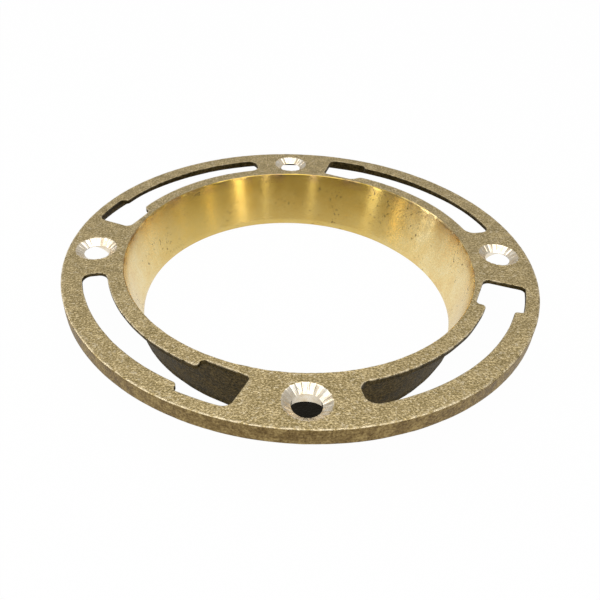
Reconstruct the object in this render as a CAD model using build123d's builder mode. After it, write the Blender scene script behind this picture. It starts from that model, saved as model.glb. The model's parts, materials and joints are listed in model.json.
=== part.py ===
from build123d import *
import os
from math import asin, cos, degrees, radians, sin, tan

# A closet flange: the brass ring that a toilet bowl is bolted to, where the drain comes through the floor.
# It is one thin casting. A flat ring with a turned-down rim lies on the floor, and a tapered collar hangs
# from the ring's inner edge into the drain. The collar is bored out and the four screw holes are drilled
# and countersunk; every other face is left as cast.
# Z = 0 is the lower end of the collar, and the Z axis is the axis of the bore. Sizes are in millimetres
# and angles in degrees.

os.makedirs("parts", exist_ok=True)

# Ring
ring_radius = 88.9
ring_width = 22.5
height = 23.8
plate_thickness = 2.2
edge_round = 0.5

# Turned-down rim round the ring, thinner at its foot by the draft of the mould
rim_depth = 6.1
rim_width = 1.3
rim_draft = 6.0

# Bore: a taper between a chamfer at the top and a short straight land at the bottom
bore_taper = 5.2
bore_land = 3.0
bore_chamfer = 0.3

# Collar round the bore
collar_wall = 1.95
collar_root_round = 1.2
collar_foot_round = 0.5

# Slots for the closet bolts: a channel that follows the ring, with a wide entry for the bolt's head
slot_count = 4
slot_edge_distance = 7.2
slot_width = 9.8
slot_start_angle = 12.2
slot_end_round = 3.8
entry_angle = 69.4
entry_width = 16.6
entry_near_depth = 3.5
entry_far_depth = 1.9
entry_outer_depth = 2.4
entry_corner_round = 1.4

# Screw holes, each with a gusset under it that slopes back into the collar
screw_count = 4
screw_edge_distance = 10.9
screw_hole_radius = 4.75
countersink_radius = 7.7
countersink_angle = 110
gusset_width = 15.0
gusset_overrun = 1.8
gusset_slope = 26.0

# Radii that follow from the sizes above
bore_top_radius = ring_radius - ring_width
bore_bottom_radius = bore_top_radius - bore_taper
slot_outer_radius = ring_radius - slot_edge_distance
slot_inner_radius = slot_outer_radius - slot_width
entry_outer_radius = slot_outer_radius + entry_outer_depth
entry_near_radius = slot_inner_radius - entry_near_depth
entry_far_radius = slot_inner_radius - entry_far_depth
screw_circle_radius = ring_radius - screw_edge_distance
gusset_reach = screw_circle_radius + gusset_overrun

# Heights that follow from the sizes above
plate_underside = height - plate_thickness
rim_foot = height - rim_depth
slot_cut_depth = plate_thickness + collar_root_round
gusset_drop = (gusset_reach - bore_bottom_radius) * tan(radians(gusset_slope))


def polar(radius: float, angle: float) -> tuple:
    """Give the point of the ring's plane at a radius and an angle."""
    return (radius * cos(radians(angle)), radius * sin(radians(angle)))


def upright(angle: float) -> Plane:
    """Give the plane that stands on the bore's axis, with its x running outwards at an angle."""
    x, y = polar(1, angle)
    return Plane(origin=(0, 0, 0), x_dir=(x, y, 0), z_dir=(y, -x, 0))


def bore_radius(level: float) -> float:
    """Give the radius of the bore's taper at a height above the collar's lower end."""
    share = (level - bore_land) / (height - bore_land)
    return bore_bottom_radius + (bore_top_radius - bore_bottom_radius) * share


def entry_side_angle(radius: float, side: int) -> float:
    """Give the angle at which an entry's side, parallel to the entry's middle, meets a radius."""
    return entry_angle + side * degrees(asin(entry_width / 2 / radius))


# Corners of the outer profile, from the collar's foot round to the top of the rim
collar_foot = (bore_bottom_radius + collar_wall, 0)
root_corner = (bore_radius(plate_underside) + collar_wall, plate_underside)
rim_inner_radius = ring_radius - rim_width - (rim_depth - plate_thickness) * tan(radians(rim_draft))
rim_foot_inner = (ring_radius - rim_width, rim_foot)
rim_foot_outer = (ring_radius, rim_foot)
rim_top_corner = (ring_radius, height)

# Corners of one slot, from the channel's closed end round by its inner side and the entry
channel_start_inner = polar(slot_inner_radius, slot_start_angle)
channel_start_outer = polar(slot_outer_radius, slot_start_angle)
inner_step_angle = entry_side_angle(slot_inner_radius, -1)
outer_step_angle = entry_side_angle(slot_outer_radius, -1)
inner_step = polar(slot_inner_radius, inner_step_angle)
outer_step = polar(slot_outer_radius, outer_step_angle)
entry_near_corner = polar(entry_near_radius, entry_side_angle(entry_near_radius, -1))
entry_far_corner = polar(entry_far_radius, entry_side_angle(entry_far_radius, 1))
entry_far_angle = entry_side_angle(entry_outer_radius, 1)
entry_near_angle = entry_side_angle(entry_outer_radius, -1)
entry_outer_far = polar(entry_outer_radius, entry_far_angle)
entry_outer_near = polar(entry_outer_radius, entry_near_angle)

# Outline of one slot
with BuildSketch() as slot:
    with BuildLine():
        CenterArc((0, 0), slot_inner_radius, slot_start_angle, inner_step_angle - slot_start_angle)
        Polyline(inner_step, entry_near_corner, entry_far_corner, entry_outer_far)
        CenterArc((0, 0), entry_outer_radius, entry_near_angle, entry_far_angle - entry_near_angle)
        Line(entry_outer_near, outer_step)
        CenterArc((0, 0), slot_outer_radius, slot_start_angle, outer_step_angle - slot_start_angle)
        Line(channel_start_outer, channel_start_inner)
    outline = make_face()
    corners = outline.vertices()
    fillet(corners.sort_by_distance(inner_step)[0], radius=entry_corner_round)
    fillet(corners.sort_by_distance(entry_near_corner)[0], radius=entry_corner_round)
    fillet(corners.sort_by_distance(entry_far_corner)[0], radius=entry_corner_round)
    fillet(corners.sort_by_distance(entry_outer_far)[0], radius=entry_corner_round)
    fillet(corners.sort_by_distance(entry_outer_near)[0], radius=entry_corner_round)
    fillet(corners.sort_by_distance(outer_step)[0], radius=entry_corner_round)
    fillet(corners.sort_by_distance(channel_start_inner)[0], radius=slot_end_round)
    fillet(corners.sort_by_distance(channel_start_outer)[0], radius=slot_end_round)

with BuildPart() as closet_flange:
    # Plate, rim and collar, still solid inside the collar
    with BuildSketch(Plane.XZ):
        with BuildLine():
            Polyline(
                (0, 0),
                collar_foot,
                (bore_bottom_radius + collar_wall, bore_land),
                root_corner,
                (rim_inner_radius, plate_underside),
                rim_foot_inner,
                rim_foot_outer,
                rim_top_corner,
                (0, height),
                close=True,
            )
        section = make_face()
        corners = section.vertices()
        fillet(corners.sort_by_distance(root_corner)[0], radius=collar_root_round)
        fillet(corners.sort_by_distance(collar_foot)[0], radius=collar_foot_round)
        fillet(corners.sort_by_distance(rim_top_corner)[0], radius=edge_round)
        fillet(corners.sort_by_distance(rim_foot_outer)[0], radius=edge_round)
        fillet(corners.sort_by_distance(rim_foot_inner)[0], radius=edge_round)
    revolve(axis=Axis.Z)

    # Gussets under the screw holes
    for screw in range(screw_count):
        with BuildSketch(upright(screw * 360 / screw_count)):
            with BuildLine():
                Polyline(
                    (bore_bottom_radius, plate_underside),
                    (gusset_reach, plate_underside),
                    (bore_bottom_radius, plate_underside - gusset_drop),
                    close=True,
                )
            make_face()
        extrude(amount=gusset_width / 2, both=True)

    # Slots, cut through the plate and through the rounding where the collar joins it
    with BuildSketch(Plane.XY.offset(height)):
        with PolarLocations(0, slot_count):
            add(slot.sketch)
    extrude(amount=-slot_cut_depth, mode=Mode.SUBTRACT)

    # Bore
    with BuildSketch(Plane.XZ):
        with BuildLine():
            Polyline(
                (0, 0),
                (bore_bottom_radius, 0),
                (bore_bottom_radius, bore_land),
                (bore_radius(height - bore_chamfer), height - bore_chamfer),
                (bore_radius(height - bore_chamfer) + bore_chamfer, height),
                (0, height),
                close=True,
            )
        make_face()
    revolve(axis=Axis.Z, mode=Mode.SUBTRACT)

    # Screw holes
    with Locations((0, 0, height)):
        with PolarLocations(screw_circle_radius, screw_count):
            CounterSinkHole(
                radius=screw_hole_radius,
                counter_sink_radius=countersink_radius,
                counter_sink_angle=countersink_angle,
            )

closet_flange.part.label = "closet_flange"
export_step(closet_flange.part, "parts/closet_flange.step")
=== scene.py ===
"""Looks of the closet flange: a sand-cast brass ring with a bored collar, standing on a pale studio floor."""

import json
import logging
import math
from dataclasses import dataclass
from enum import IntEnum

import bmesh
import bpy
import numpy as np
from mathutils import Matrix, Vector, geometry, kdtree, noise

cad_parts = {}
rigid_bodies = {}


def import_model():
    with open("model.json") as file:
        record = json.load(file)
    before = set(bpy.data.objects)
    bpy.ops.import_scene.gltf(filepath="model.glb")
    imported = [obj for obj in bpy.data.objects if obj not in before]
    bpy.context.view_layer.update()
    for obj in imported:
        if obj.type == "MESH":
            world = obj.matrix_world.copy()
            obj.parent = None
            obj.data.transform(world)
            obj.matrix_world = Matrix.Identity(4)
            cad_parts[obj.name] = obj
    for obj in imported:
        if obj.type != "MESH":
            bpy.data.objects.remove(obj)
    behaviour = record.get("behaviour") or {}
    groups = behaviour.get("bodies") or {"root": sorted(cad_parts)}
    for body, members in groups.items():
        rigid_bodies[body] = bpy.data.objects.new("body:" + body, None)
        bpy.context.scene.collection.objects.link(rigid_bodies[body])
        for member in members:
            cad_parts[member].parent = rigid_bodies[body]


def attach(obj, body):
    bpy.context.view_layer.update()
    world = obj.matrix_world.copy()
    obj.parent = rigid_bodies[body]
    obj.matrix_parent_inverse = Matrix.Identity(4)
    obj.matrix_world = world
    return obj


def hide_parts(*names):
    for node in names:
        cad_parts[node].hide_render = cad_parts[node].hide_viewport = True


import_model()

LOG = logging.getLogger("closet_flange")
MM = 0.001
FULL_TURN = 2 * math.pi
Point = tuple[float, float]
Colour = tuple[float, float, float, float]


def screen_colour(red: int, green: int, blue: int) -> Colour:
    """Turn a colour as seen on a screen, 0 to 255, into the linear one that shaders take.

    Args:
        red: red on the screen.
        green: green on the screen.
        blue: blue on the screen.

    Returns:
        The linear colour with an alpha of 1.
    """
    parts = [channel / 255 for channel in (red, green, blue)]
    linear = [part / 12.92 if part <= 0.04045 else ((part + 0.055) / 1.055) ** 2.4 for part in parts]
    return (linear[0], linear[1], linear[2], 1.0)


def at(radius: float, angle: float) -> Point:
    """Give the point of the ring's plane at a radius and an angle in degrees."""
    return (radius * math.cos(math.radians(angle)), radius * math.sin(math.radians(angle)))


def to_radius(point: Point, radius: float) -> Point:
    """Move a point straight out or in to a radius."""
    scale = radius / math.hypot(*point)
    return (point[0] * scale, point[1] * scale)


def arc(centre: Point, start: Point, end: Point, step: float) -> list[Point]:
    """Give points along the shorter arc round a centre.

    Args:
        centre: the arc's centre.
        start: its first point.
        end: its last point.
        step: the longest distance from one point to the next.

    Returns:
        The points, with both ends.
    """
    first = math.atan2(start[1] - centre[1], start[0] - centre[0])
    turn = math.atan2(end[1] - centre[1], end[0] - centre[0]) - first
    turn = (turn + math.pi) % FULL_TURN - math.pi
    radius = math.hypot(start[0] - centre[0], start[1] - centre[1])
    count = max(3, math.ceil(abs(turn) * radius / step))
    angles = [first + turn * index / count for index in range(count + 1)]
    return [(centre[0] + radius * math.cos(a), centre[1] + radius * math.sin(a)) for a in angles]


def run(start: Point, end: Point, step: float) -> list[Point]:
    """Give points along a straight run, with both ends, no further apart than a step."""
    count = max(1, math.ceil(math.hypot(end[0] - start[0], end[1] - start[1]) / step))
    shares = [index / count for index in range(count + 1)]
    return [(start[0] + (end[0] - start[0]) * s, start[1] + (end[1] - start[1]) * s) for s in shares]


def round_corner(before: Point, corner: Point, after: Point, radius: float) -> tuple[Point, Point, Point]:
    """Find the arc that rounds a corner between two straight sides.

    Args:
        before: a point on the side that comes in.
        corner: the corner.
        after: a point on the side that goes out.
        radius: the radius of the rounding.

    Returns:
        The arc's centre, its first point and its last point.
    """
    here = Vector(corner)
    back = (Vector(before) - here).normalized()
    ahead = (Vector(after) - here).normalized()
    half = back.angle(ahead) / 2
    reach = radius / math.tan(half)
    centre = here + (back + ahead).normalized() * (radius / math.sin(half))
    return tuple(centre), tuple(here + back * reach), tuple(here + ahead * reach)


def rounded_path(corners: list[tuple[Point, float, float]]) -> list[Point]:
    """Give an open path of straight sides with rounded corners.

    Args:
        corners: for each corner its place, its rounding radius, and the step along the side after it.

    Returns:
        The path's points.
    """
    points: list[Point] = [corners[0][0]]
    step = corners[0][2]
    for index in range(1, len(corners)):
        corner, radius, next_step = corners[index]
        if radius > 0:
            turn = round_corner(points[-1], corner, corners[index + 1][0], radius)
            part = arc(*turn, radius * 0.3)
        else:
            part = [corner]
        points += run(points[-1], part[0], step)[1:] + part[1:]
        step = next_step
    return points


class Finish(IntEnum):
    """The flange's finishes, in the order of the piece's material slots."""

    CAST_TOP = 0
    CAST_SIDE = 1
    CAST_UNDER = 2
    BORED = 3
    SEAT = 4


@dataclass(frozen=True)
class Handwork:
    """How far one slot of this casting lies from the pattern's, in degrees and millimetres."""

    near_inner: float = 0.0
    near_outer: float = 0.0
    near_slope: float = 0.0
    far_inner: float = 0.0
    far_outer: float = 0.0
    inner_side: float = 0.0
    outer_side: float = 0.0
    entry_depth: float = 0.0
    near_round: float = 1.4
    far_inner_round: float = 1.4
    far_outer_round: float = 1.4

    def moved(self, radius: float, angle: float, form: "FlangeForm") -> tuple[float, float]:
        """Move a point of the pattern's outline to where it is on this slot.

        Args:
            radius: the point's radius.
            angle: its angle from the screw hole before the slot.
            form: the flange's sizes.

        Returns:
            The new radius and angle.
        """
        outward = (radius - form.slot_inner) / form.slot_width
        outward = min(max(outward, 0.0), 1.0)
        near = self.near_inner + (self.near_outer - self.near_inner) * outward
        near += self.near_slope * max(form.slot_inner - radius, 0.0) / form.entry_near_depth
        far = self.far_inner + (self.far_outer - self.far_inner) * outward
        reach = form.entry_angle - 6.4
        turn = np.interp(angle, [reach - 12, reach, reach + 3, reach + 12], [0, near, near, far])
        shift = self.inner_side + (self.outer_side - self.inner_side) * outward
        return radius + shift, angle + float(turn)


@dataclass(frozen=True)
class FlangeForm:
    """Sizes of the flange in millimetres and degrees, as in the part's source but for a shorter bore_land."""

    ring_radius: float = 88.9
    ring_width: float = 22.5
    height: float = 23.8
    plate_thickness: float = 2.2
    edge_round: float = 0.5
    rim_depth: float = 6.1
    rim_width: float = 1.3
    rim_draft: float = 6.0
    bore_taper: float = 5.2
    bore_land: float = 1.8
    bore_chamfer: float = 0.3
    collar_wall: float = 1.95
    collar_root_round: float = 1.2
    collar_foot_round: float = 0.5
    slot_edge_distance: float = 7.2
    slot_width: float = 9.8
    slot_start_angle: float = 12.2
    slot_end_round: float = 3.8
    entry_angle: float = 69.4
    entry_width: float = 16.6
    entry_near_depth: float = 3.5
    entry_far_depth: float = 1.9
    entry_outer_depth: float = 2.4
    entry_corner_round: float = 1.4
    screw_edge_distance: float = 10.9
    screw_hole_radius: float = 4.75
    countersink_radius: float = 7.7
    countersink_angle: float = 110.0
    gusset_width: float = 15.0
    gusset_overrun: float = 1.8
    gusset_slope: float = 26.0

    @property
    def bore_top(self) -> float:
        """Radius of the bore's taper at the top face."""
        return self.ring_radius - self.ring_width

    @property
    def bore_bottom(self) -> float:
        """Radius of the bore's straight land."""
        return self.bore_top - self.bore_taper

    @property
    def slot_outer(self) -> float:
        """Radius of the slots' outer side."""
        return self.ring_radius - self.slot_edge_distance

    @property
    def slot_inner(self) -> float:
        """Radius of the slots' inner side."""
        return self.slot_outer - self.slot_width

    @property
    def screw_circle(self) -> float:
        """Radius of the circle that the screw holes stand on."""
        return self.ring_radius - self.screw_edge_distance

    @property
    def underside(self) -> float:
        """Height of the plate's lower face."""
        return self.height - self.plate_thickness

    @property
    def slot_floor(self) -> float:
        """Height that the slots are cut down to."""
        return self.underside - self.collar_root_round

    def bore_radius(self, level: float) -> float:
        """Give the radius of the bore's taper at a height."""
        share = (level - self.bore_land) / (self.height - self.bore_land)
        return self.bore_bottom + self.bore_taper * share

    def outer_profile(self) -> list[Point]:
        """Give the outside of the flange from its foot to its top, as radius and height."""
        rim_foot = self.height - self.rim_depth
        draft = (self.rim_depth - self.plate_thickness) * math.tan(math.radians(self.rim_draft))
        rim_inner = self.ring_radius - self.rim_width
        foot = self.bore_bottom + self.collar_wall
        root = self.bore_radius(self.underside) + self.collar_wall
        return rounded_path([
            ((self.bore_bottom - 2, 0), 0, 1.0),
            ((foot, 0), self.collar_foot_round, 1.0),
            ((foot, self.bore_land), 0, 1.5),
            ((root, self.underside), self.collar_root_round, 2.0),
            ((rim_inner - draft, self.underside), 0.4, 1.2),
            ((rim_inner, rim_foot), self.edge_round, 1.0),
            ((self.ring_radius, rim_foot), self.edge_round, 0.7),
            ((self.ring_radius, self.height), self.edge_round, 30.0),
            ((self.bore_top, self.height), 0, 1.0),
        ])

    def bore_profile(self) -> list[Point]:
        """Give the bore from below its foot to above the top face, as radius and height."""
        edge = self.height - self.bore_chamfer
        edge_radius = self.bore_radius(edge)
        return rounded_path([
            ((self.bore_bottom + 1.2, -1.0), 0, 5.0),
            ((self.bore_bottom + 0.2, 0), 0, 0.3),
            ((self.bore_bottom, 0.2), 0, 0.9),
            ((self.bore_bottom, self.bore_land), 0, 1.0),
            ((edge_radius, edge), 0.25, 0.4),
            ((edge_radius + self.bore_chamfer, self.height), 0, 5.0),
            ((edge_radius + self.bore_chamfer + 1, self.height + 1), 0, 1.0),
        ])

    def slot_outline(self, turn: float, work: Handwork, step: float) -> list[Point]:
        """Give the outline of one slot, anticlockwise.

        Args:
            turn: the angle of the screw hole that the slot follows.
            work: how this slot differs from the pattern's.
            step: the distance between points.

        Returns:
            The outline's points.
        """
        inner = self.slot_inner
        outer = self.slot_outer
        start = self.slot_start_angle
        half = self.entry_width / 2
        entry_outer = outer + self.entry_outer_depth + work.entry_depth
        corner = self.entry_corner_round
        far_round = work.far_outer_round
        end = self.slot_end_round
        middle = Matrix.Rotation(math.radians(self.entry_angle), 2)

        def in_entry(across: float, out: float) -> Point:
            """Place a point by its distances across and along the entry's middle line."""
            return tuple(middle @ Vector((out, across)))

        def on_circle(across: float, radius: float) -> Point:
            """Place a point by its distance across the entry's middle line and its radius."""
            return in_entry(across, math.sqrt(radius * radius - across * across))

        def beside(across: float, point: Point) -> Point:
            """Drop a point square onto the entry's side."""
            return in_entry(across, (middle.transposed() @ Vector(point)).x)

        end_inner = at(inner + end, start + math.degrees(math.asin(end / (inner + end))))
        end_outer = at(outer - end, start + math.degrees(math.asin(end / (outer - end))))
        end_foot_inner = at(math.sqrt((inner + end) ** 2 - end * end), start)
        end_foot_outer = at(math.sqrt((outer - end) ** 2 - end * end), start)
        step_inner = on_circle(-half - corner, inner - corner)
        step_outer = on_circle(-half - corner, outer + corner)
        far_outer = on_circle(half - far_round, entry_outer - far_round)
        near_outer = on_circle(-half + corner, entry_outer - corner)
        near = on_circle(-half, inner - self.entry_near_depth)
        far = on_circle(half, inner - self.entry_far_depth)
        near_arc = round_corner(beside(-half, step_inner), near, far, work.near_round)
        far_arc = round_corner(near, far, beside(half, far_outer), work.far_inner_round)

        points = arc((0, 0), to_radius(end_inner, inner), to_radius(step_inner, inner), step)
        points += arc(step_inner, to_radius(step_inner, inner), beside(-half, step_inner), step)[1:]
        points += run(beside(-half, step_inner), near_arc[1], step)[1:-1]
        points += arc(*near_arc, step)
        points += run(near_arc[2], far_arc[1], step)[1:-1]
        points += arc(*far_arc, step)
        points += run(far_arc[2], beside(half, far_outer), step)[1:-1]
        points += arc(far_outer, beside(half, far_outer), to_radius(far_outer, entry_outer), step)
        points += arc((0, 0), to_radius(far_outer, entry_outer), to_radius(near_outer, entry_outer), step)[1:-1]
        points += arc(near_outer, to_radius(near_outer, entry_outer), beside(-half, near_outer), step)
        points += arc(step_outer, beside(-half, step_outer), to_radius(step_outer, outer), step)
        points += arc((0, 0), to_radius(step_outer, outer), to_radius(end_outer, outer), step)[1:]
        points += arc(end_outer, to_radius(end_outer, outer), end_foot_outer, step)[1:]
        points += run(end_foot_outer, end_foot_inner, step)[1:]
        points += arc(end_inner, end_foot_inner, to_radius(end_inner, inner), step)[1:-1]
        moved = [work.moved(math.hypot(*p), math.degrees(math.atan2(p[1], p[0])), self) for p in points]
        return [at(radius, angle + turn) for radius, angle in moved][::-1]


def offset_outline(points: np.ndarray, distance: float) -> np.ndarray:
    """Move a closed anticlockwise outline outwards by a distance.

    Args:
        points: the outline, one row a point.
        distance: how far to move it.

    Returns:
        The moved outline.
    """
    along = np.roll(points, -1, axis=0) - np.roll(points, 1, axis=0)
    along /= np.linalg.norm(along, axis=1, keepdims=True)
    return points + distance * np.stack([along[:, 1], -along[:, 0]], axis=1)


def new_object(name: str, verts: list | np.ndarray, faces: list, finish: Finish, finishes: list) -> bpy.types.Object:
    """Make a mesh object with the flange's material slots and one finish on every face.

    Args:
        name: the object's name.
        verts: the places of its vertices.
        faces: the vertex numbers of its faces.
        finish: the finish of every face.
        finishes: the materials, in the order of Finish.

    Returns:
        The object, linked to the scene.
    """
    mesh = bpy.data.meshes.new(name)
    mesh.from_pydata([tuple(v) for v in verts], [], faces)
    for material in finishes:
        mesh.materials.append(material)
    mesh.polygons.foreach_set("material_index", [int(finish)] * len(mesh.polygons))
    made = bpy.data.objects.new(name, mesh)
    bpy.context.scene.collection.objects.link(made)
    return made


def turned(name: str, profile: list[Point], segments: int, finish: Finish, finishes: list) -> bpy.types.Object:
    """Turn a profile round the Z axis into a closed body with a flat cap at each end.

    Args:
        name: the object's name.
        profile: radius and height from the lower cap to the upper one.
        segments: how many steps the turn has.
        finish: the finish of every face.
        finishes: the materials, in the order of Finish.

    Returns:
        The body.
    """
    angles = np.arange(segments) * FULL_TURN / segments
    rows = [np.stack([r * np.cos(angles), r * np.sin(angles), np.full(segments, z)], axis=1) for r, z in profile]
    faces = [list(range(segments))[::-1], [(len(profile) - 1) * segments + i for i in range(segments)]]
    for row in range(len(profile) - 1):
        low = row * segments
        for i in range(segments):
            j = (i + 1) % segments
            faces.append([low + i, low + j, low + segments + j, low + segments + i])
    return new_object(name, np.concatenate(rows), faces, finish, finishes)


def stacked(name: str, outlines: list[tuple[np.ndarray, float]], finish: Finish, finishes: list) -> bpy.types.Object:
    """Join outlines of equal length at rising heights into a closed body.

    Args:
        name: the object's name.
        outlines: each outline and its height, the lowest first.
        finish: the finish of every face.
        finishes: the materials, in the order of Finish.

    Returns:
        The body.
    """
    count = len(outlines[0][0])
    rows = [np.column_stack([outline, np.full(count, level)]) for outline, level in outlines]
    faces = [list(range(count))[::-1], [(len(rows) - 1) * count + i for i in range(count)]]
    for row in range(len(rows) - 1):
        low = row * count
        for i in range(count):
            j = (i + 1) % count
            faces.append([low + i, low + j, low + count + j, low + count + i])
    return new_object(name, np.concatenate(rows), faces, finish, finishes)


def combine(body: bpy.types.Object, tool: bpy.types.Object, operation: str) -> None:
    """Add a tool's body to another or cut it away, and drop the tool.

    Args:
        body: the body that is kept.
        tool: the body that is added or cut away.
        operation: UNION or DIFFERENCE.
    """
    modifier = body.modifiers.new("combine", "BOOLEAN")
    modifier.solver = "MANIFOLD"
    modifier.operation = operation
    modifier.object = tool
    bpy.context.view_layer.update()
    result = bpy.data.meshes.new_from_object(body.evaluated_get(bpy.context.evaluated_depsgraph_get()))
    body.modifiers.clear()
    old = body.data
    body.data = result
    bpy.data.meshes.remove(old)
    bpy.data.objects.remove(tool)


@dataclass(frozen=True)
class Seat:
    """One screw hole as it was drilled on this casting, next to the pattern's place, in millimetres."""

    shift: tuple[float, float, float] = (0.0, 0.0, 0.0)
    widening: float = 0.0


@dataclass(frozen=True)
class ScrewHoles:
    """The four countersunk screw holes, all cut with one drill that chattered."""

    form: FlangeForm
    finishes: list
    seats: tuple[Seat, ...] = (
        Seat(widening=-0.35),
        Seat(shift=(0.0, -0.7, 0.0), widening=-0.3),
        Seat(shift=(0.0, 0.5, 0.0), widening=0.2),
        Seat(shift=(-0.4, 0.0, 0.0), widening=-0.05),
    )
    flats: int = 23
    steps_per_flat: int = 8
    groove_share: float = 0.25
    chatter: float = 0.2
    below: float = 12.0
    turn_seed: int = 4

    def drill(self) -> bpy.types.Object:
        """Build the drill that cuts a hole and its countersunk seat, standing on the bore's axis.

        Returns:
            The drill's body.
        """
        form = self.form
        slope = math.tan(math.radians(form.countersink_angle / 2))
        hole = form.screw_hole_radius
        wide = form.countersink_radius
        depth = (wide - hole) / slope
        count = self.flats * self.steps_per_flat
        angles = np.arange(count) * FULL_TURN / count
        place = (np.arange(count) % self.steps_per_flat) / self.steps_per_flat
        spread = FULL_TURN / self.flats
        flat = math.cos(spread / 2) / np.cos(spread * (place - 0.5)) - 1
        depths = np.repeat(np.random.default_rng(30).uniform(0.4, 1.3, self.flats), self.steps_per_flat)
        groove = np.where(place < self.groove_share, depths, 0) * self.chatter

        def ring(radius: float, bite: float) -> np.ndarray:
            """Give one turn of the drill, with its flats and the grooves between them cut in by a bite."""
            reach = radius * (1 + bite * flat) + bite * groove
            return np.stack([reach * np.cos(angles), reach * np.sin(angles)], axis=1)

        top = form.height
        rows = [(ring(hole, 0), form.underside - self.below), (ring(hole, 0), form.underside - 3)]
        rows += [(ring(hole, 0), form.underside - 1.2), (ring(hole, 0), form.underside)]
        rows += [(ring(hole, 0), top - depth)]
        for share in (0.12, 0.3, 0.5, 0.7, 0.88):
            rows.append((ring(hole + (wide - hole) * share, min(1, share * 4)), top - depth * (1 - share)))
        rows.append((ring(wide, 1), top))
        rows.append((ring(wide + slope, 1), top + 1))
        return stacked("drill", rows, Finish.SEAT, self.finishes)

    def tree(self) -> bpy.types.NodeTree:
        """Build the Geometry Nodes tree that sets drills round the screw circle.

        Returns:
            The tree, whose own mesh holds one vertex a hole with its shift and its scale.
        """
        tree = bpy.data.node_groups.new("screw_circle", "GeometryNodeTree")
        sockets = tree.interface
        sockets.new_socket("Handwork", in_out="INPUT", socket_type="NodeSocketGeometry")
        sockets.new_socket("Drill", in_out="INPUT", socket_type="NodeSocketObject")
        sockets.new_socket("Count", in_out="INPUT", socket_type="NodeSocketInt")
        sockets.new_socket("Circle Radius", in_out="INPUT", socket_type="NodeSocketFloat")
        sockets.new_socket("Turn Seed", in_out="INPUT", socket_type="NodeSocketInt")
        sockets.new_socket("Finish", in_out="INPUT", socket_type="NodeSocketMaterial")
        sockets.new_socket("Drills", in_out="OUTPUT", socket_type="NodeSocketGeometry")
        nodes, link = tree.nodes, tree.links.new
        given = nodes.new("NodeGroupInput").outputs
        circle = nodes.new("GeometryNodeMeshCircle")
        link(given["Count"], circle.inputs["Vertices"])
        link(given["Circle Radius"], circle.inputs["Radius"])
        index = nodes.new("GeometryNodeInputIndex")

        def own(name: str, kind: str, sampled: str) -> bpy.types.NodeSocket:
            """Read a hole's own value from the tree's mesh."""
            named = nodes.new("GeometryNodeInputNamedAttribute")
            named.data_type = kind
            named.inputs["Name"].default_value = name
            sample = nodes.new("GeometryNodeSampleIndex")
            sample.data_type = sampled
            link(given["Handwork"], sample.inputs["Geometry"])
            link(named.outputs["Attribute"], sample.inputs["Value"])
            link(index.outputs["Index"], sample.inputs["Index"])
            return sample.outputs["Value"]

        moved = nodes.new("GeometryNodeSetPosition")
        link(circle.outputs["Mesh"], moved.inputs["Geometry"])
        link(own("shift", "FLOAT_VECTOR", "FLOAT_VECTOR"), moved.inputs["Offset"])
        turn = nodes.new("FunctionNodeRandomValue")
        turn.data_type = "FLOAT_VECTOR"
        turn.inputs[0].default_value = (0, 0, 0)
        turn.inputs[1].default_value = (0, 0, FULL_TURN)
        link(given["Turn Seed"], turn.inputs["Seed"])
        drill = nodes.new("GeometryNodeObjectInfo")
        link(given["Drill"], drill.inputs["Object"])
        copies = nodes.new("GeometryNodeInstanceOnPoints")
        link(moved.outputs["Geometry"], copies.inputs["Points"])
        link(drill.outputs["Geometry"], copies.inputs["Instance"])
        link(turn.outputs[0], copies.inputs["Rotation"])
        link(own("scale", "FLOAT_VECTOR", "FLOAT_VECTOR"), copies.inputs["Scale"])
        real = nodes.new("GeometryNodeRealizeInstances")
        link(copies.outputs["Instances"], real.inputs["Geometry"])
        painted = nodes.new("GeometryNodeSetMaterial")
        link(real.outputs["Geometry"], painted.inputs["Geometry"])
        link(given["Finish"], painted.inputs["Material"])
        link(painted.outputs["Geometry"], nodes.new("NodeGroupOutput").inputs["Drills"])
        return tree

    def build(self) -> bpy.types.Object:
        """Build the drills for all the holes as one plain mesh.

        Returns:
            The drills.
        """
        form = self.form
        drill = self.drill()
        mesh = bpy.data.meshes.new("drills")
        mesh.from_pydata([(0, 0, 0)] * len(self.seats), [], [])
        scales = [1 + seat.widening / form.countersink_radius for seat in self.seats]
        values = {"shift": [seat.shift for seat in self.seats], "scale": [(scale, scale, 1) for scale in scales]}
        for name, vectors in values.items():
            attribute = mesh.attributes.new(name, "FLOAT_VECTOR", "POINT")
            attribute.data.foreach_set("vector", np.array(vectors, dtype=float).ravel())
        drills = bpy.data.objects.new("drills", mesh)
        bpy.context.scene.collection.objects.link(drills)
        modifier = drills.modifiers.new("screw_circle", "NODES")
        modifier.node_group = self.tree()
        inputs = {
            "Drill": drill,
            "Count": len(self.seats),
            "Circle Radius": form.screw_circle,
            "Turn Seed": self.turn_seed,
            "Finish": self.finishes[Finish.SEAT],
        }
        for item in modifier.node_group.interface.items_tree:
            if item.in_out == "INPUT" and item.name in inputs:
                modifier[item.identifier] = inputs[item.name]
        bpy.context.view_layer.update()
        result = bpy.data.meshes.new_from_object(drills.evaluated_get(bpy.context.evaluated_depsgraph_get()))
        drills.modifiers.clear()
        drills.data = result
        result.materials.clear()
        for material in self.finishes:
            result.materials.append(material)
        result.polygons.foreach_set("material_index", [int(Finish.SEAT)] * len(result.polygons))
        bpy.data.meshes.remove(mesh)
        bpy.data.objects.remove(drill)
        return drills


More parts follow.
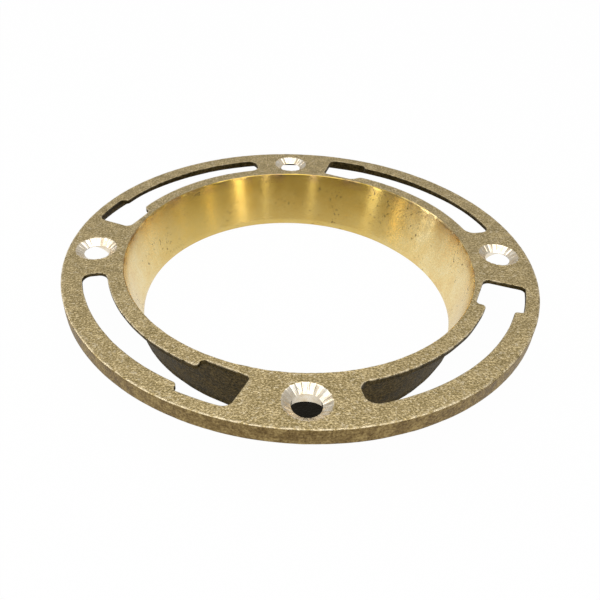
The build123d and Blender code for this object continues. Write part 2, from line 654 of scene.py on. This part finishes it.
@dataclass(frozen=True)
class Casting:
    """The flange's body: turned section, gussets, slots, bore and screw holes, then the sand's relief."""

    form: FlangeForm
    finishes: list
    segments: int = 600
    slot_step: float = 0.55
    slot_edge_round: float = 0.16
    grain: float = 0.62
    edge_waviness: float = 0.13
    sand: float = 0.05
    bore_angles: tuple[float, ...] = (-180, -150, -90, -45, -10, 15, 40, 70, 105, 140, 170, 180)
    bore_errors: tuple[float, ...] = (-0.25, -0.1, 0.0, 0.2, 0.45, 0.0, -0.5, -0.1, 0.2, 0.0, -0.25, -0.25)
    thin_angles: tuple[float, ...] = (-180, -165, -138, -120, -90, -50, -30, 0, 16, 32, 40, 52, 62, 90, 112, 128, 142, 160, 180)
    thin_amounts: tuple[float, ...] = (0.3, 0.9, 0.9, 0.4, 0.0, 0.3, 0.6, 0.45, 0.65, 0.65, 0.45, 0.25, 0.05, 0.0, 0.2, 0.45, 0.55, 0.3, 0.3)
    foot_angles: tuple[float, ...] = (-180, -156, -130, -115, -102, -92, -62, -50, -40, -20, 180)
    foot_errors: tuple[float, ...] = (0, -0.2, -0.2, 0.1, 1.1, 1.6, 1.4, 0.5, 0.1, 0, 0)
    works: tuple[Handwork, ...] = (
        Handwork(near_inner=1.0, near_outer=0.9, near_slope=1.5, far_inner=1.1, far_outer=1.0,
                 inner_side=-0.2, outer_side=0.0, near_round=2.1, far_inner_round=1.8, far_outer_round=2.2),
        Handwork(near_inner=0.4, near_outer=-1.5, near_slope=0.8, far_inner=-0.2, far_outer=-0.7,
                 inner_side=0.1, outer_side=0.3, entry_depth=0.4, near_round=2.1,
                 far_inner_round=2.4, far_outer_round=3.0),
        Handwork(near_inner=-0.2, near_outer=-2.0, far_inner=-0.1, far_outer=-0.8,
                 inner_side=0.5, outer_side=-0.3, entry_depth=0.4, far_outer_round=3.0),
        Handwork(near_inner=0.8, near_outer=0.7, far_inner=0.4, far_outer=0.3,
                 inner_side=-0.1, outer_side=-0.45, entry_depth=0.5, far_inner_round=2.8, far_outer_round=1.8),
    )

    def slot_cutter(self, number: int) -> bpy.types.Object:
        """Build the body that cuts one slot, flared at the top to round the slot's edge."""
        form = self.form
        outline = np.array(form.slot_outline(number * 90, self.works[number], self.slot_step))
        edge = self.slot_edge_round
        top = form.height
        rows = [(outline, form.slot_floor), (outline, form.underside - 0.1), (outline, form.underside + 0.7)]
        rows += [(outline, form.underside + 1.5), (outline, top - edge)]
        rows += [(offset_outline(outline, edge * 0.13), top - edge * 0.5)]
        rows += [(offset_outline(outline, edge * 0.5), top - edge * 0.13)]
        rows += [(offset_outline(outline, edge), top), (offset_outline(outline, edge), top + 1)]
        return stacked(f"slot_{number}", rows, Finish.CAST_UNDER, self.finishes)

    def gusset(self, number: int) -> bpy.types.Object:
        """Build the wedge under one screw hole."""
        form = self.form
        reach = form.screw_circle + form.gusset_overrun
        drop = (reach - form.bore_bottom) * math.tan(math.radians(form.gusset_slope))
        inner = form.bore_bottom - 1
        drop *= (reach - inner) / (reach - form.bore_bottom)
        inside = form.underside + 0.2
        half = form.gusset_width / 2
        side = [(inner, inside), (reach, inside), (reach, form.underside), (inner, form.underside - drop)]
        turn = Matrix.Rotation(math.radians(number * 90), 3, "Z")
        verts = [turn @ Vector((x, y, z)) for y in (-half, half) for x, z in side]
        faces = [[0, 1, 2, 3][::-1], [4, 5, 6, 7], [0, 1, 5, 4], [1, 2, 6, 5], [2, 3, 7, 6], [3, 0, 4, 7]]
        made = new_object(f"gusset_{number}", verts, faces, Finish.CAST_UNDER, self.finishes)
        shell = bmesh.new()
        shell.from_mesh(made.data)
        bmesh.ops.recalc_face_normals(shell, faces=shell.faces)
        shell.to_mesh(made.data)
        shell.free()
        return made

    def build(self) -> bpy.types.Object:
        """Build the flange in millimetres.

        Returns:
            The flange as one closed body.
        """
        form = self.form
        body = turned("flange", form.outer_profile(), self.segments, Finish.CAST_UNDER, self.finishes)
        for number in range(4):
            combine(body, self.gusset(number), "UNION")
            combine(body, self.slot_cutter(number), "DIFFERENCE")
        bore = turned("bore", form.bore_profile(), self.segments, Finish.BORED, self.finishes)
        combine(body, bore, "DIFFERENCE")
        combine(body, ScrewHoles(form, self.finishes).build(), "DIFFERENCE")
        LOG.info("cut body: %d vertices, %d faces", len(body.data.vertices), len(body.data.polygons))
        return body

    def refill_top(self, body: bpy.types.Object) -> None:
        """Replace the flat top by a close net of points that can take the sand's relief.

        Args:
            body: the cut body.
        """
        form = self.form
        shell = bmesh.new()
        shell.from_mesh(body.data)
        flat = [f for f in shell.faces if all(abs(v.co.z - form.height) < 1e-4 for v in f.verts)]
        bmesh.ops.delete(shell, geom=flat, context="FACES")
        rim = list({v for e in shell.edges if e.is_boundary for v in e.verts})
        bmesh.ops.remove_doubles(shell, verts=rim, dist=0.02)
        shell.verts.index_update()
        edges = [e for e in shell.edges if e.is_boundary]
        rim = list({v for e in edges for v in e.verts})
        number = {v: index for index, v in enumerate(rim)}
        links = [(number[e.verts[0]], number[e.verts[1]]) for e in edges]
        border = np.array([v.co[:2] for v in rim])
        starts = border[[a for a, _ in links]]
        ends = border[[b for _, b in links]]
        grains = self.scatter(starts, ends, border)
        points = [Vector(p) for p in np.concatenate([border, grains])]
        made = geometry.delaunay_2d_cdt(points, links, [], 0, 1e-6)
        places = np.array([tuple(p) for p in made[0]])
        triangles = np.array(made[2])
        kept = triangles[inside(places[triangles].mean(axis=1), starts, ends)]
        verts = [rim[o[0]] if o and o[0] < len(rim) else None for o in made[3]]
        used = set(kept.ravel().tolist())
        for index in used:
            if verts[index] is None:
                verts[index] = shell.verts.new((*places[index], form.height))
        for triangle in kept.tolist():
            face = shell.faces.new([verts[i] for i in triangle])
            face.material_index = int(Finish.CAST_TOP)
        shell.normal_update()
        open_edges = sum(1 for e in shell.edges if not e.is_manifold)
        LOG.info("top refilled: %d grains, %d triangles, %d open edges", len(grains), len(kept), open_edges)
        shell.to_mesh(body.data)
        shell.free()

    def scatter(self, starts: np.ndarray, ends: np.ndarray, border: np.ndarray) -> np.ndarray:
        """Scatter points over the top face, clear of its edges.

        Args:
            starts: first ends of the top face's edges.
            ends: their second ends.
            border: the points on the edges.

        Returns:
            The scattered points.
        """
        form = self.form
        chance = np.random.default_rng(7)
        pitch = self.grain
        count = int(form.ring_radius / pitch) + 2
        columns, rows = np.meshgrid(np.arange(-count, count + 1), np.arange(-int(count * 1.16), int(count * 1.16)))
        x = (columns + 0.5 * (rows % 2)).ravel() * pitch
        y = rows.ravel() * pitch * math.sqrt(3) / 2
        points = np.stack([x, y], axis=1) + chance.uniform(-0.24, 0.24, (len(x), 2)) * pitch
        radius = np.hypot(points[:, 0], points[:, 1])
        points = points[(radius < form.ring_radius) & (radius > form.bore_top)]
        points = points[inside(points, starts, ends)]
        near = kdtree.KDTree(len(border))
        for index, place in enumerate(border):
            near.insert((place[0], place[1], 0), index)
        near.balance()
        clear = [near.find((p[0], p[1], 0))[2] > pitch * 0.5 for p in points]
        return points[clear]

    def relief(self, body: bpy.types.Object) -> None:
        """Give the casting its uneven faces and edges, mark where its edges are worn, and mark the painted reflection
        on the bore and the painted shade under the plate.

        Args:
            body: the flange, refilled, in millimetres.
        """
        form = self.form
        mesh = body.data
        count = len(mesh.vertices)
        places = np.empty(count * 3)
        mesh.vertices.foreach_get("co", places)
        places = places.reshape(-1, 3)
        old = places.copy()
        radius = np.hypot(old[:, 0], old[:, 1])
        outward = old[:, :2] / radius[:, None]
        azimuth = np.degrees(np.arctan2(old[:, 1], old[:, 0]))
        level = old[:, 2]
        seats = np.array([at(form.screw_circle, 90 * n) for n in range(4)])
        from_seat = np.min(np.linalg.norm(old[:, None, :2] - seats[None], axis=2), axis=1)

        # Wavy walls of the slots
        window = ramp(radius, 68.6, 70.0) * ramp(radius, 87.6, 86.0) * ramp(from_seat, 8.2, 9.6)
        window *= ramp(level, form.slot_floor - 1.0, form.slot_floor)
        window *= self.edge_waviness
        wave = wander(old * (1, 1, 0), 7.0, 11) * 0.8 + wander(old * (1, 1, 0.3), 2.5, 12) * 0.15
        other = wander(old * (1, 1, 0), 7.0, 21) * 0.8 + wander(old * (1, 1, 0.3), 2.5, 22) * 0.15
        places[:, 0] += window * wave
        places[:, 1] += window * other

        # Sand's relief on the top face, only ever below the pattern's face
        top = ramp(level, form.height - 0.4, form.height - 0.02) * ramp(from_seat, 7.3, 8.3)
        top *= ramp(radius, 67.0, 67.5) * (1 - 0.6 * self.near_slot_edges(mesh, old))
        sand = wander(old, 22.0, 31) * 0.07 + wander(old, 5.0, 32) * 0.03
        sand += wander(old, 1.7, 33) * self.sand + wander(old, 0.9, 34) * self.sand * 0.8
        places[:, 2] -= top * np.clip(0.06 - sand, 0.0, 0.4)

        # Plate thinner in places than the pattern's
        thin = np.interp(azimuth, self.thin_angles, self.thin_amounts)
        thin *= ramp(level, form.height - 0.5, form.underside) * ramp(level, form.underside - 4.0, form.underside - 0.5)
        places[:, 2] += thin * ramp(radius, 67.6, 69.0) * ramp(from_seat, 7.6, 9.0)

        # Rim's side and foot
        side = ramp(radius, 88.2, 88.6)
        dents = wander(old, 9.0, 41) * 0.06 + wander(old, 1.8, 42) * 0.035 + wander(old, 0.9, 43) * 0.02
        inward = side * np.clip(0.01 - dents, 0.0, 0.4)
        places[:, :2] -= outward * inward[:, None]
        foot = ramp(level, form.underside - 1.0, form.height - form.rim_depth) * ramp(radius, 84.0, 86.5)
        back = np.sin(np.radians(azimuth))
        lift = np.where(back > 0, 0.4, 0.25) * back + wander(old, 9.0, 51) * 0.08 + wander(old, 2.0, 52) * 0.04
        places[:, 2] += foot * lift

        # Bore and collar, out of round towards the drain
        brim = ramp(radius, form.bore_top + 0.5, form.bore_top + 0.35) * ramp(level, form.height - 0.4, form.height - 0.2)
        ragged = wander(old, 1.6, 71) * 0.16 + wander(old, 6.0, 72) * 0.10
        places[:, :2] += outward * (brim * ragged)[:, None]
        depth = np.clip(1 - level / form.height, 0, 1)
        collar = ramp(radius, 71.5, 68.0)
        round_error = np.interp(azimuth, self.bore_angles, self.bore_errors)
        stands_out = np.interp(azimuth, self.foot_angles, self.foot_errors)
        outer_face = ramp(radius - form.bore_radius(np.maximum(level, form.bore_land)), 0.9, 1.5)
        shift = collar * depth * (round_error + outer_face * stands_out * ramp(level, 19.0, 1.0))
        places[:, :2] += outward * shift[:, None]
        rough = collar * outer_face * ramp(level, 22.0, 20.0) * wander(old, 3.0, 61) * 0.08
        places[:, :2] += outward * rough[:, None]

        mesh.vertices.foreach_set("co", places.ravel())
        wear_and_glint = ramp(level, form.height - 0.33, form.height - 0.1) * np.maximum(
            ramp(radius, 88.3, 88.5), self.near_slot_edges(mesh, old) * (0.3 + 0.6 * ramp(radius, 77.0, 74.0))
        )
        mesh.attributes.new("wear_and_glint", "FLOAT", "POINT").data.foreach_set("value", wear_and_glint)
        # Painted reflection on the bore: a deeper gold, full at the back and front, none at the two sides near 7 and
        # 187 degrees, and weaker lower down.
        painted_light = ramp(np.abs(np.sin(np.radians(azimuth - 7))), 0.15, 0.85) * (0.7 + 0.3 * level / form.height)
        # Painted shade: faces below the plate, the collar's outside among them, darkened within about 10 degrees of
        # each screw hole.
        off_seat = np.abs((azimuth + 45) % 90 - 45)
        shade = ramp(off_seat, 10.0, 5.0) * ramp(level, form.underside + 0.2, form.underside - 0.6)
        # The bore keeps the painted reflection; every other face takes the painted shade.
        painted_light = np.where(radius < form.bore_radius(np.maximum(level, form.bore_land)) + 0.7, painted_light, shade)
        mesh.attributes.new("painted_light", "FLOAT", "POINT").data.foreach_set("value", painted_light)
        mesh.update()

    def near_slot_edges(self, mesh: bpy.types.Mesh, places: np.ndarray) -> np.ndarray:
        """Mark the vertices on the slots' rounded top edges.

        Args:
            mesh: the flange's mesh, with the cutters' finishes on its faces.
            places: its vertices.

        Returns:
            1 for each vertex on such an edge, and 0 elsewhere.
        """
        marks = np.zeros(len(places))
        for polygon in mesh.polygons:
            if polygon.material_index == Finish.CAST_UNDER and polygon.center.z > self.form.underside + 1.6:
                if math.hypot(polygon.center.x, polygon.center.y) < self.form.ring_radius - 1:
                    marks[list(polygon.vertices)] = 1
        return marks

    def dress(self, body: bpy.types.Object) -> None:
        """Set each face's finish by where it is, and the sharp edges of the shading.

        Args:
            body: the flange, before its relief.
        """
        form = self.form
        for polygon in body.data.polygons:
            polygon.use_smooth = polygon.material_index != Finish.SEAT
            if polygon.material_index != Finish.CAST_UNDER:
                continue
            radius = math.hypot(polygon.center.x, polygon.center.y)
            if radius > form.ring_radius - 0.4:
                polygon.material_index = int(Finish.CAST_TOP if polygon.normal.z > 0.5 else Finish.CAST_SIDE)
            elif polygon.center.z > form.height - self.slot_edge_round * 0.5:
                polygon.material_index = int(Finish.CAST_TOP)


def ramp(value: np.ndarray, low: float, high: float) -> np.ndarray:
    """Rise smoothly from 0 at low to 1 at high, or fall if low is the greater."""
    share = np.clip((value - low) / (high - low), 0, 1)
    return share * share * (3 - 2 * share)


def wander(places: np.ndarray, size: float, seed: int) -> np.ndarray:
    """Give a smooth random value from about -1 to 1 at each place.

    Args:
        places: the places in millimetres.
        size: the distance over which the value changes.
        seed: the number that sets the pattern.

    Returns:
        One value for each place.
    """
    moved = places / size + np.array([seed * 3.7, seed * 1.3, seed * 2.1])
    return np.array([noise.noise(place) for place in moved.tolist()])


def inside(points: np.ndarray, starts: np.ndarray, ends: np.ndarray) -> np.ndarray:
    """Tell which points lie inside an outline with holes.

    Args:
        points: the points.
        starts: first ends of the outline's edges, in any order.
        ends: their second ends.

    Returns:
        True for each point inside.
    """
    low = np.minimum(starts[:, 1], ends[:, 1])
    high = np.maximum(starts[:, 1], ends[:, 1])
    lean = (ends[:, 0] - starts[:, 0]) / np.where(high > low, ends[:, 1] - starts[:, 1], 1)
    found = np.zeros(len(points), dtype=bool)
    for first in range(0, len(points), 1000):
        x = points[first:first + 1000, 0, None]
        y = points[first:first + 1000, 1, None]
        level = (low[None] <= y) & (y < high[None])
        right = starts[None, :, 0] + (y - starts[None, :, 1]) * lean[None] > x
        found[first:first + 1000] = (level & right).sum(axis=1) % 2 == 1
    return found


class Pattern(IntEnum):
    """How a finish's grain runs."""

    SAND = 0
    TURNED = 1


@dataclass(frozen=True)
class Brass:
    """A brass finish: its tones, its gloss and the grain of its surface."""

    name: str
    tones: tuple[Colour, Colour, Colour]
    # Colour of rubbed edges, also used for the painted glints.
    wear_and_glint: Colour
    roughness: float
    roughness_spread: float
    bump: float
    grain_size: float
    patch_size: float
    grain_share: float = 0.65
    pits: float = 0.0
    # Share of painted glints: bright specks standing in for grains that catch the light.
    painted_glints: float = 0.0
    # Colour of the painted reflection on the bore, or of the painted shade under the plate, by finish.
    painted_light: Colour | None = None
    # Colour of the painted shade in a band just below the bore's top edge.
    painted_brim_shade: Colour | None = None
    pattern: Pattern = Pattern.SAND
    anisotropic: float = 0.0

    def build(self) -> bpy.types.Material:
        """Build the material from procedural nodes that read Object coordinates."""
        material = bpy.data.materials.new(self.name)
        material.use_nodes = True
        tree = NodeTree(material.node_tree)
        shader = material.node_tree.nodes["Principled BSDF"]
        shader.inputs["Metallic"].default_value = 1.0
        shader.inputs["Anisotropic"].default_value = self.anisotropic
        shader.inputs["Anisotropic Rotation"].default_value = 0.25
        patches = tree.noise(self.patch_size, 6.0)
        if self.pattern is Pattern.TURNED:
            grain = tree.noise(self.grain_size, 3.0, (0.35, 0.35, 1.0))
        else:
            grain = tree.noise(self.grain_size, 2.0)
        blend = tree.mix(self.grain_share, patches, grain)
        colour = tree.ramp(blend, [(0.38, self.tones[0]), (0.5, self.tones[1]), (0.62, self.tones[2])])
        # Painted reflection and painted shade, laid on by a mask stored on the mesh.
        if self.painted_light:
            colour = tree.mix_colour(tree.attribute("painted_light"), colour, self.painted_light)
        # Painted shade: browner patches in a band just below the bore's top edge.
        if self.painted_brim_shade:
            edge = tree.between(tree.level(), 19.5 * MM, 23.6 * MM, 0.0, 0.9)
            colour = tree.mix_colour(tree.product(edge, tree.between(tree.noise(7.0, 3.0), 0.40, 0.62)), colour, self.painted_brim_shade)
        rub = tree.product(tree.between(tree.noise(2.2, 3.0), 0.40, 0.55), tree.attribute("wear_and_glint"))
        colour = tree.mix_colour(rub, colour, self.wear_and_glint)
        # Painted glints: bright specks in the colour of the rubbed edges.
        if self.painted_glints > 0:
            painted_glints = tree.between(tree.noise(1.1, 1.0), 0.62, 0.68, 0.0, self.painted_glints)
            colour = tree.mix_colour(painted_glints, colour, self.wear_and_glint)
        if self.pits > 0:
            spots = tree.between(tree.noise(1.1, 1.0), 0.70 - self.pits, 0.73 - self.pits)
            zones = tree.between(tree.noise(14.0, 2.0), 0.5, 0.6)
            dark = tuple(channel * 0.3 for channel in self.tones[0][:3]) + (1.0,)
            colour = tree.mix_colour(tree.product(spots, zones), colour, dark)
        tree.join(colour, shader.inputs["Base Color"])
        low = self.roughness - self.roughness_spread
        high = self.roughness + self.roughness_spread
        tree.join(tree.between(patches, 0.3, 0.7, low, high), shader.inputs["Roughness"])
        tree.join(tree.bump(grain, self.bump), shader.inputs["Normal"])
        if self.anisotropic:
            tree.join(tree.turned_tangent(), shader.inputs["Tangent"])
        return material


class NodeTree:
    """A material's nodes, made and joined by what they do."""

    def __init__(self, tree: bpy.types.NodeTree) -> None:
        """Start from a material's tree.

        Args:
            tree: the material's node tree.
        """
        self.tree = tree
        self.coordinates = tree.nodes.new("ShaderNodeTexCoord")

    def join(self, source: bpy.types.NodeSocket, target: bpy.types.NodeSocket) -> None:
        """Link one socket to another."""
        self.tree.links.new(source, target)

    def noise(self, size: float, detail: float, stretch: tuple[float, float, float] = (1, 1, 1)) -> bpy.types.NodeSocket:
        """Give a noise whose features are of a size in millimetres, squeezed along the axes by a stretch."""
        mapping = self.tree.nodes.new("ShaderNodeMapping")
        mapping.inputs["Scale"].default_value = stretch
        self.join(self.coordinates.outputs["Object"], mapping.inputs["Vector"])
        made = self.tree.nodes.new("ShaderNodeTexNoise")
        made.inputs["Scale"].default_value = 1 / (size * MM)
        made.inputs["Detail"].default_value = detail
        made.inputs["Roughness"].default_value = 0.6
        self.join(mapping.outputs["Vector"], made.inputs["Vector"])
        return made.outputs["Fac"]

    def level(self) -> bpy.types.NodeSocket:
        """Give the height above the part's foot."""
        made = self.tree.nodes.new("ShaderNodeSeparateXYZ")
        self.join(self.coordinates.outputs["Object"], made.inputs["Vector"])
        return made.outputs["Z"]

    def attribute(self, name: str) -> bpy.types.NodeSocket:
        """Give a value stored on the mesh."""
        made = self.tree.nodes.new("ShaderNodeAttribute")
        made.attribute_name = name
        return made.outputs["Fac"]

    def between(self, value: bpy.types.NodeSocket, start: float, end: float,
                low: float = 0.0, high: float = 1.0) -> bpy.types.NodeSocket:
        """Spread a value from start to end over low to high."""
        made = self.tree.nodes.new("ShaderNodeMapRange")
        made.inputs["From Min"].default_value = start
        made.inputs["From Max"].default_value = end
        made.inputs["To Min"].default_value = low
        made.inputs["To Max"].default_value = high
        self.join(value, made.inputs["Value"])
        return made.outputs["Result"]

    def product(self, first: bpy.types.NodeSocket, second: bpy.types.NodeSocket) -> bpy.types.NodeSocket:
        """Multiply two values."""
        made = self.tree.nodes.new("ShaderNodeMath")
        made.operation = "MULTIPLY"
        self.join(first, made.inputs[0])
        self.join(second, made.inputs[1])
        return made.outputs["Value"]

    def mix(self, share: float, first: bpy.types.NodeSocket, second: bpy.types.NodeSocket) -> bpy.types.NodeSocket:
        """Mix two values by a fixed share of the second."""
        made = self.tree.nodes.new("ShaderNodeMix")
        made.inputs["Factor"].default_value = share
        self.join(first, made.inputs[2])
        self.join(second, made.inputs[3])
        return made.outputs[0]

    def mix_colour(self, share: bpy.types.NodeSocket, first: bpy.types.NodeSocket,
                   second: Colour) -> bpy.types.NodeSocket:
        """Mix a colour into another by a share."""
        made = self.tree.nodes.new("ShaderNodeMix")
        made.data_type = "RGBA"
        self.join(share, made.inputs["Factor"])
        self.join(first, made.inputs[6])
        made.inputs[7].default_value = second
        return made.outputs[2]

    def ramp(self, value: bpy.types.NodeSocket, stops: list[tuple[float, Colour]]) -> bpy.types.NodeSocket:
        """Turn a value into a colour by stops."""
        made = self.tree.nodes.new("ShaderNodeValToRGB")
        elements = made.color_ramp.elements
        while len(elements) < len(stops):
            elements.new(0.5)
        for element, (position, colour) in zip(elements, stops):
            element.position = position
            element.color = colour
        self.join(value, made.inputs["Fac"])
        return made.outputs["Color"]

    def bump(self, height: bpy.types.NodeSocket, depth: float) -> bpy.types.NodeSocket:
        """Raise and sink the surface by a height, over a depth in millimetres."""
        made = self.tree.nodes.new("ShaderNodeBump")
        made.inputs["Strength"].default_value = 1.0
        made.inputs["Distance"].default_value = depth * MM
        self.join(height, made.inputs["Height"])
        return made.outputs["Normal"]

    def turned_tangent(self) -> bpy.types.NodeSocket:
        """Give the direction of the lathe's marks, round the Z axis."""
        made = self.tree.nodes.new("ShaderNodeTangent")
        made.direction_type = "RADIAL"
        made.axis = "Z"
        return made.outputs["Tangent"]


def brass_finishes() -> list[bpy.types.Material]:
    """Build the flange's materials, in the order of Finish."""
    # Colour of rubbed edges, also used for the cast top's painted glints.
    bright = (0.85, 0.72, 0.48, 1)
    # Cast top; its bright flecks are painted glints standing in for grains that catch the light.
    cast_top = Brass(
        "brass_cast_top", ((0.33, 0.25, 0.10, 1), (0.52, 0.40, 0.195, 1), (0.86, 0.70, 0.39, 1)), bright,
        roughness=0.42, roughness_spread=0.08, bump=0.3, grain_size=0.68, patch_size=4.0, grain_share=0.74,
        painted_glints=0.7,
    )
    cast_side = Brass(
        "brass_cast_side", ((0.13, 0.08, 0.026, 1), (0.25, 0.17, 0.064, 1), (0.42, 0.31, 0.13, 1)), bright,
        roughness=0.5, roughness_spread=0.08, bump=0.2, grain_size=0.8, patch_size=4.0, grain_share=0.5,
    )
    # Dark as-cast patina under the plate and in the slots, made darker still as painted shade; its near-black second
    # colour is the painted shade under the screw holes.
    cast_under = Brass(
        "brass_cast_under", ((0.03, 0.022, 0.006, 1), (0.075, 0.052, 0.017, 1), (0.15, 0.105, 0.038, 1)), bright,
        roughness=0.6, roughness_spread=0.08, bump=0.3, grain_size=0.8, patch_size=5.0, painted_light=(0.02, 0.016, 0.010, 1),
    )
    # Bored brass; its deeper gold is painted reflection and its browner band below the top edge is painted shade.
    bored = Brass(
        "brass_bored", ((0.82, 0.60, 0.26, 1), (0.90, 0.73, 0.36, 1), (0.94, 0.81, 0.48, 1)), bright,
        roughness=0.22, roughness_spread=0.03, bump=0.010, grain_size=0.4, patch_size=8.0,
        grain_share=0.5, pits=0.06, painted_light=(0.64, 0.45, 0.10, 1), painted_brim_shade=(0.50, 0.33, 0.16, 1),
        pattern=Pattern.TURNED, anisotropic=0.92,
    )
    seat = Brass(
        "brass_seat", ((0.74, 0.60, 0.41, 1), (0.89, 0.78, 0.60, 1), (0.96, 0.90, 0.78, 1)), bright,
        roughness=0.22, roughness_spread=0.04, bump=0.010, grain_size=0.4, patch_size=3.0, grain_share=0.3,
    )
    return [finish.build() for finish in (cast_top, cast_side, cast_under, bored, seat)]


@dataclass(frozen=True)
class Softbox:
    """A rectangular studio lamp that faces the object."""

    name: str
    direction: tuple[float, float, float]
    width: float
    height: float
    radiance: float
    distance: float = 1.0

    def build(self) -> None:
        """Hang the lamp."""
        lamp = bpy.data.lights.new(self.name, "AREA")
        lamp.shape = "RECTANGLE"
        lamp.size = self.width
        lamp.size_y = self.height
        lamp.energy = self.radiance * math.pi * self.width * self.height
        made = bpy.data.objects.new(self.name, lamp)
        toward = Vector(self.direction).normalized()
        made.location = toward * self.distance
        made.rotation_euler = toward.to_track_quat("Z", "Y").to_euler()
        bpy.context.scene.collection.objects.link(made)


@dataclass(frozen=True)
class Studio:
    """The plain pale floor, the room's light and the lamps."""

    front: float = 0.06
    back: float = 0.45
    zenith: float = 0.70
    lamps: tuple[Softbox, ...] = (
        Softbox("overhead", (0.05, -0.20, 0.97), 1.1, 0.8, 1.4),
        Softbox("left", (-0.75, 0.2, 0.64), 0.5, 0.5, 1.0),
        Softbox("strip_right", (0.657, -0.754, 0.32), 0.10, 0.6, 5.0),
        Softbox("strip_middle", (0.366, -0.930, 0.32), 0.05, 0.6, 3.0),
        Softbox("strip_front", (-0.220, -0.976, 0.32), 0.06, 0.6, 2.4),
        Softbox("strip_left", (-0.847, -0.531, 0.32), 0.13, 0.6, 3.0),
        Softbox("strip_back_left", (-0.988, 0.151, 0.32), 0.04, 0.6, 8.0),
        Softbox("strip_farthest", (-0.960, 0.280, 0.32), 0.03, 0.6, 7.0),
    )

    def build(self) -> None:
        """Lay the floor, light the room and hang the lamps."""
        scene = bpy.context.scene
        scene.view_settings.view_transform = "Standard"
        mesh = bpy.data.meshes.new("floor")
        reach = 3.0
        mesh.from_pydata([(-reach, -reach, 0), (reach, -reach, 0), (reach, reach, 0), (-reach, reach, 0)], [],
                         [(0, 1, 2, 3)])
        floor = bpy.data.objects.new("floor", mesh)
        scene.collection.objects.link(floor)
        mesh.materials.append(self.floor_material())
        world = bpy.data.worlds.new("studio")
        scene.world = world
        world.use_nodes = True
        background = world.node_tree.nodes["Background"]
        link = world.node_tree.links.new
        coordinates = world.node_tree.nodes.new("ShaderNodeTexCoord")
        split = world.node_tree.nodes.new("ShaderNodeSeparateXYZ")
        link(coordinates.outputs["Generated"], split.inputs["Vector"])
        side = world.node_tree.nodes.new("ShaderNodeMapRange")
        side.inputs["From Min"].default_value = -1.0
        side.inputs["To Min"].default_value = self.front
        side.inputs["To Max"].default_value = self.back
        link(split.outputs["Y"], side.inputs["Value"])
        height = world.node_tree.nodes.new("ShaderNodeMix")
        link(split.outputs["Z"], height.inputs["Factor"])
        link(side.outputs["Result"], height.inputs[2])
        height.inputs[3].default_value = self.zenith
        path = world.node_tree.nodes.new("ShaderNodeLightPath")
        level = world.node_tree.nodes.new("ShaderNodeMix")
        link(path.outputs["Is Camera Ray"], level.inputs["Factor"])
        link(height.outputs[0], level.inputs[2])
        level.inputs[3].default_value = 1.0
        link(level.outputs[0], background.inputs["Strength"])
        background.inputs["Color"].default_value = (1, 1, 1, 1)
        for lamp in self.lamps:
            lamp.build()

    def floor_material(self) -> bpy.types.Material:
        """Build the floor's material: white to the camera but for the object's shadow."""
        material = bpy.data.materials.new("floor")
        material.use_nodes = True
        tree = material.node_tree
        nodes = tree.nodes
        link = tree.links.new
        shader = nodes["Principled BSDF"]
        shader.inputs["Base Color"].default_value = (0.88, 0.88, 0.88, 1)
        shader.inputs["Roughness"].default_value = 0.9
        glow = nodes.new("ShaderNodeEmission")
        glow.inputs["Strength"].default_value = 1.0
        path = nodes.new("ShaderNodeLightPath")
        seen = nodes.new("ShaderNodeMath")
        seen.operation = "MULTIPLY"
        seen.inputs[1].default_value = 0.98
        link(path.outputs["Is Camera Ray"], seen.inputs[0])
        share = nodes.new("ShaderNodeMath")
        share.operation = "MULTIPLY_ADD"
        share.inputs[1].default_value = 0.55
        link(path.outputs["Is Glossy Ray"], share.inputs[0])
        link(seen.outputs["Value"], share.inputs[2])
        mix = nodes.new("ShaderNodeMixShader")
        link(share.outputs["Value"], mix.inputs["Fac"])
        link(shader.outputs["BSDF"], mix.inputs[1])
        link(glow.outputs["Emission"], mix.inputs[2])
        link(mix.outputs["Shader"], nodes["Material Output"].inputs["Surface"])
        return material


@dataclass(frozen=True)
class Viewpoint:
    """The photograph's viewpoint, in degrees and metres."""

    elevation: float = 37.8272
    roll: float = 0.8294
    place: tuple[float, float, float] = (-0.01518, -0.20152, 0.15622)
    lens: float = 37.208
    sensor: float = 36.0
    shift: float = 0.0709

    def build(self) -> None:
        """Make the camera."""
        data = bpy.data.cameras.new("camera")
        data.lens = self.lens
        data.sensor_width = self.sensor
        data.shift_x = self.shift
        data.clip_start = 0.01
        data.clip_end = 20.0
        camera = bpy.data.objects.new("camera", data)
        lift = math.radians(self.elevation)
        roll = math.radians(self.roll)
        back = Vector((0, -math.cos(lift), math.sin(lift)))
        right = Vector((1, 0, 0))
        up = Vector((0, math.sin(lift), math.cos(lift)))
        across = math.cos(roll) * right + math.sin(roll) * up
        upward = -math.sin(roll) * right + math.cos(roll) * up
        turn = Matrix((across, upward, back)).transposed()
        camera.matrix_world = Matrix.Translation(self.place) @ turn.to_4x4()
        bpy.context.scene.collection.objects.link(camera)
        bpy.context.scene.camera = camera


def clear_defaults() -> None:
    """Remove the cube, lamp and camera that Blender starts with."""
    for name in ("Cube", "Light", "Camera"):
        made = bpy.data.objects.get(name)
        if made is not None:
            bpy.data.objects.remove(made)


def main() -> None:
    """Build the flange, dress it, and set the studio and the camera."""
    clear_defaults()
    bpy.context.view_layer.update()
    form = FlangeForm()
    casting = Casting(form, brass_finishes())
    flange = casting.build()
    casting.refill_top(flange)
    casting.relief(flange)
    casting.dress(flange)
    flange.data.transform(Matrix.Scale(MM, 4))
    flange.data.set_sharp_from_angle(angle=math.radians(38))
    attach(flange, "root")
    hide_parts("closet_flange")
    triangles = sum(len(polygon.vertices) - 2 for polygon in flange.data.polygons)
    LOG.info("flange: %d triangles", triangles)
    Studio().build()
    Viewpoint().build()


if __name__ == "__main__":
    logging.basicConfig(level=logging.INFO, format="%(name)s: %(message)s")
    main()
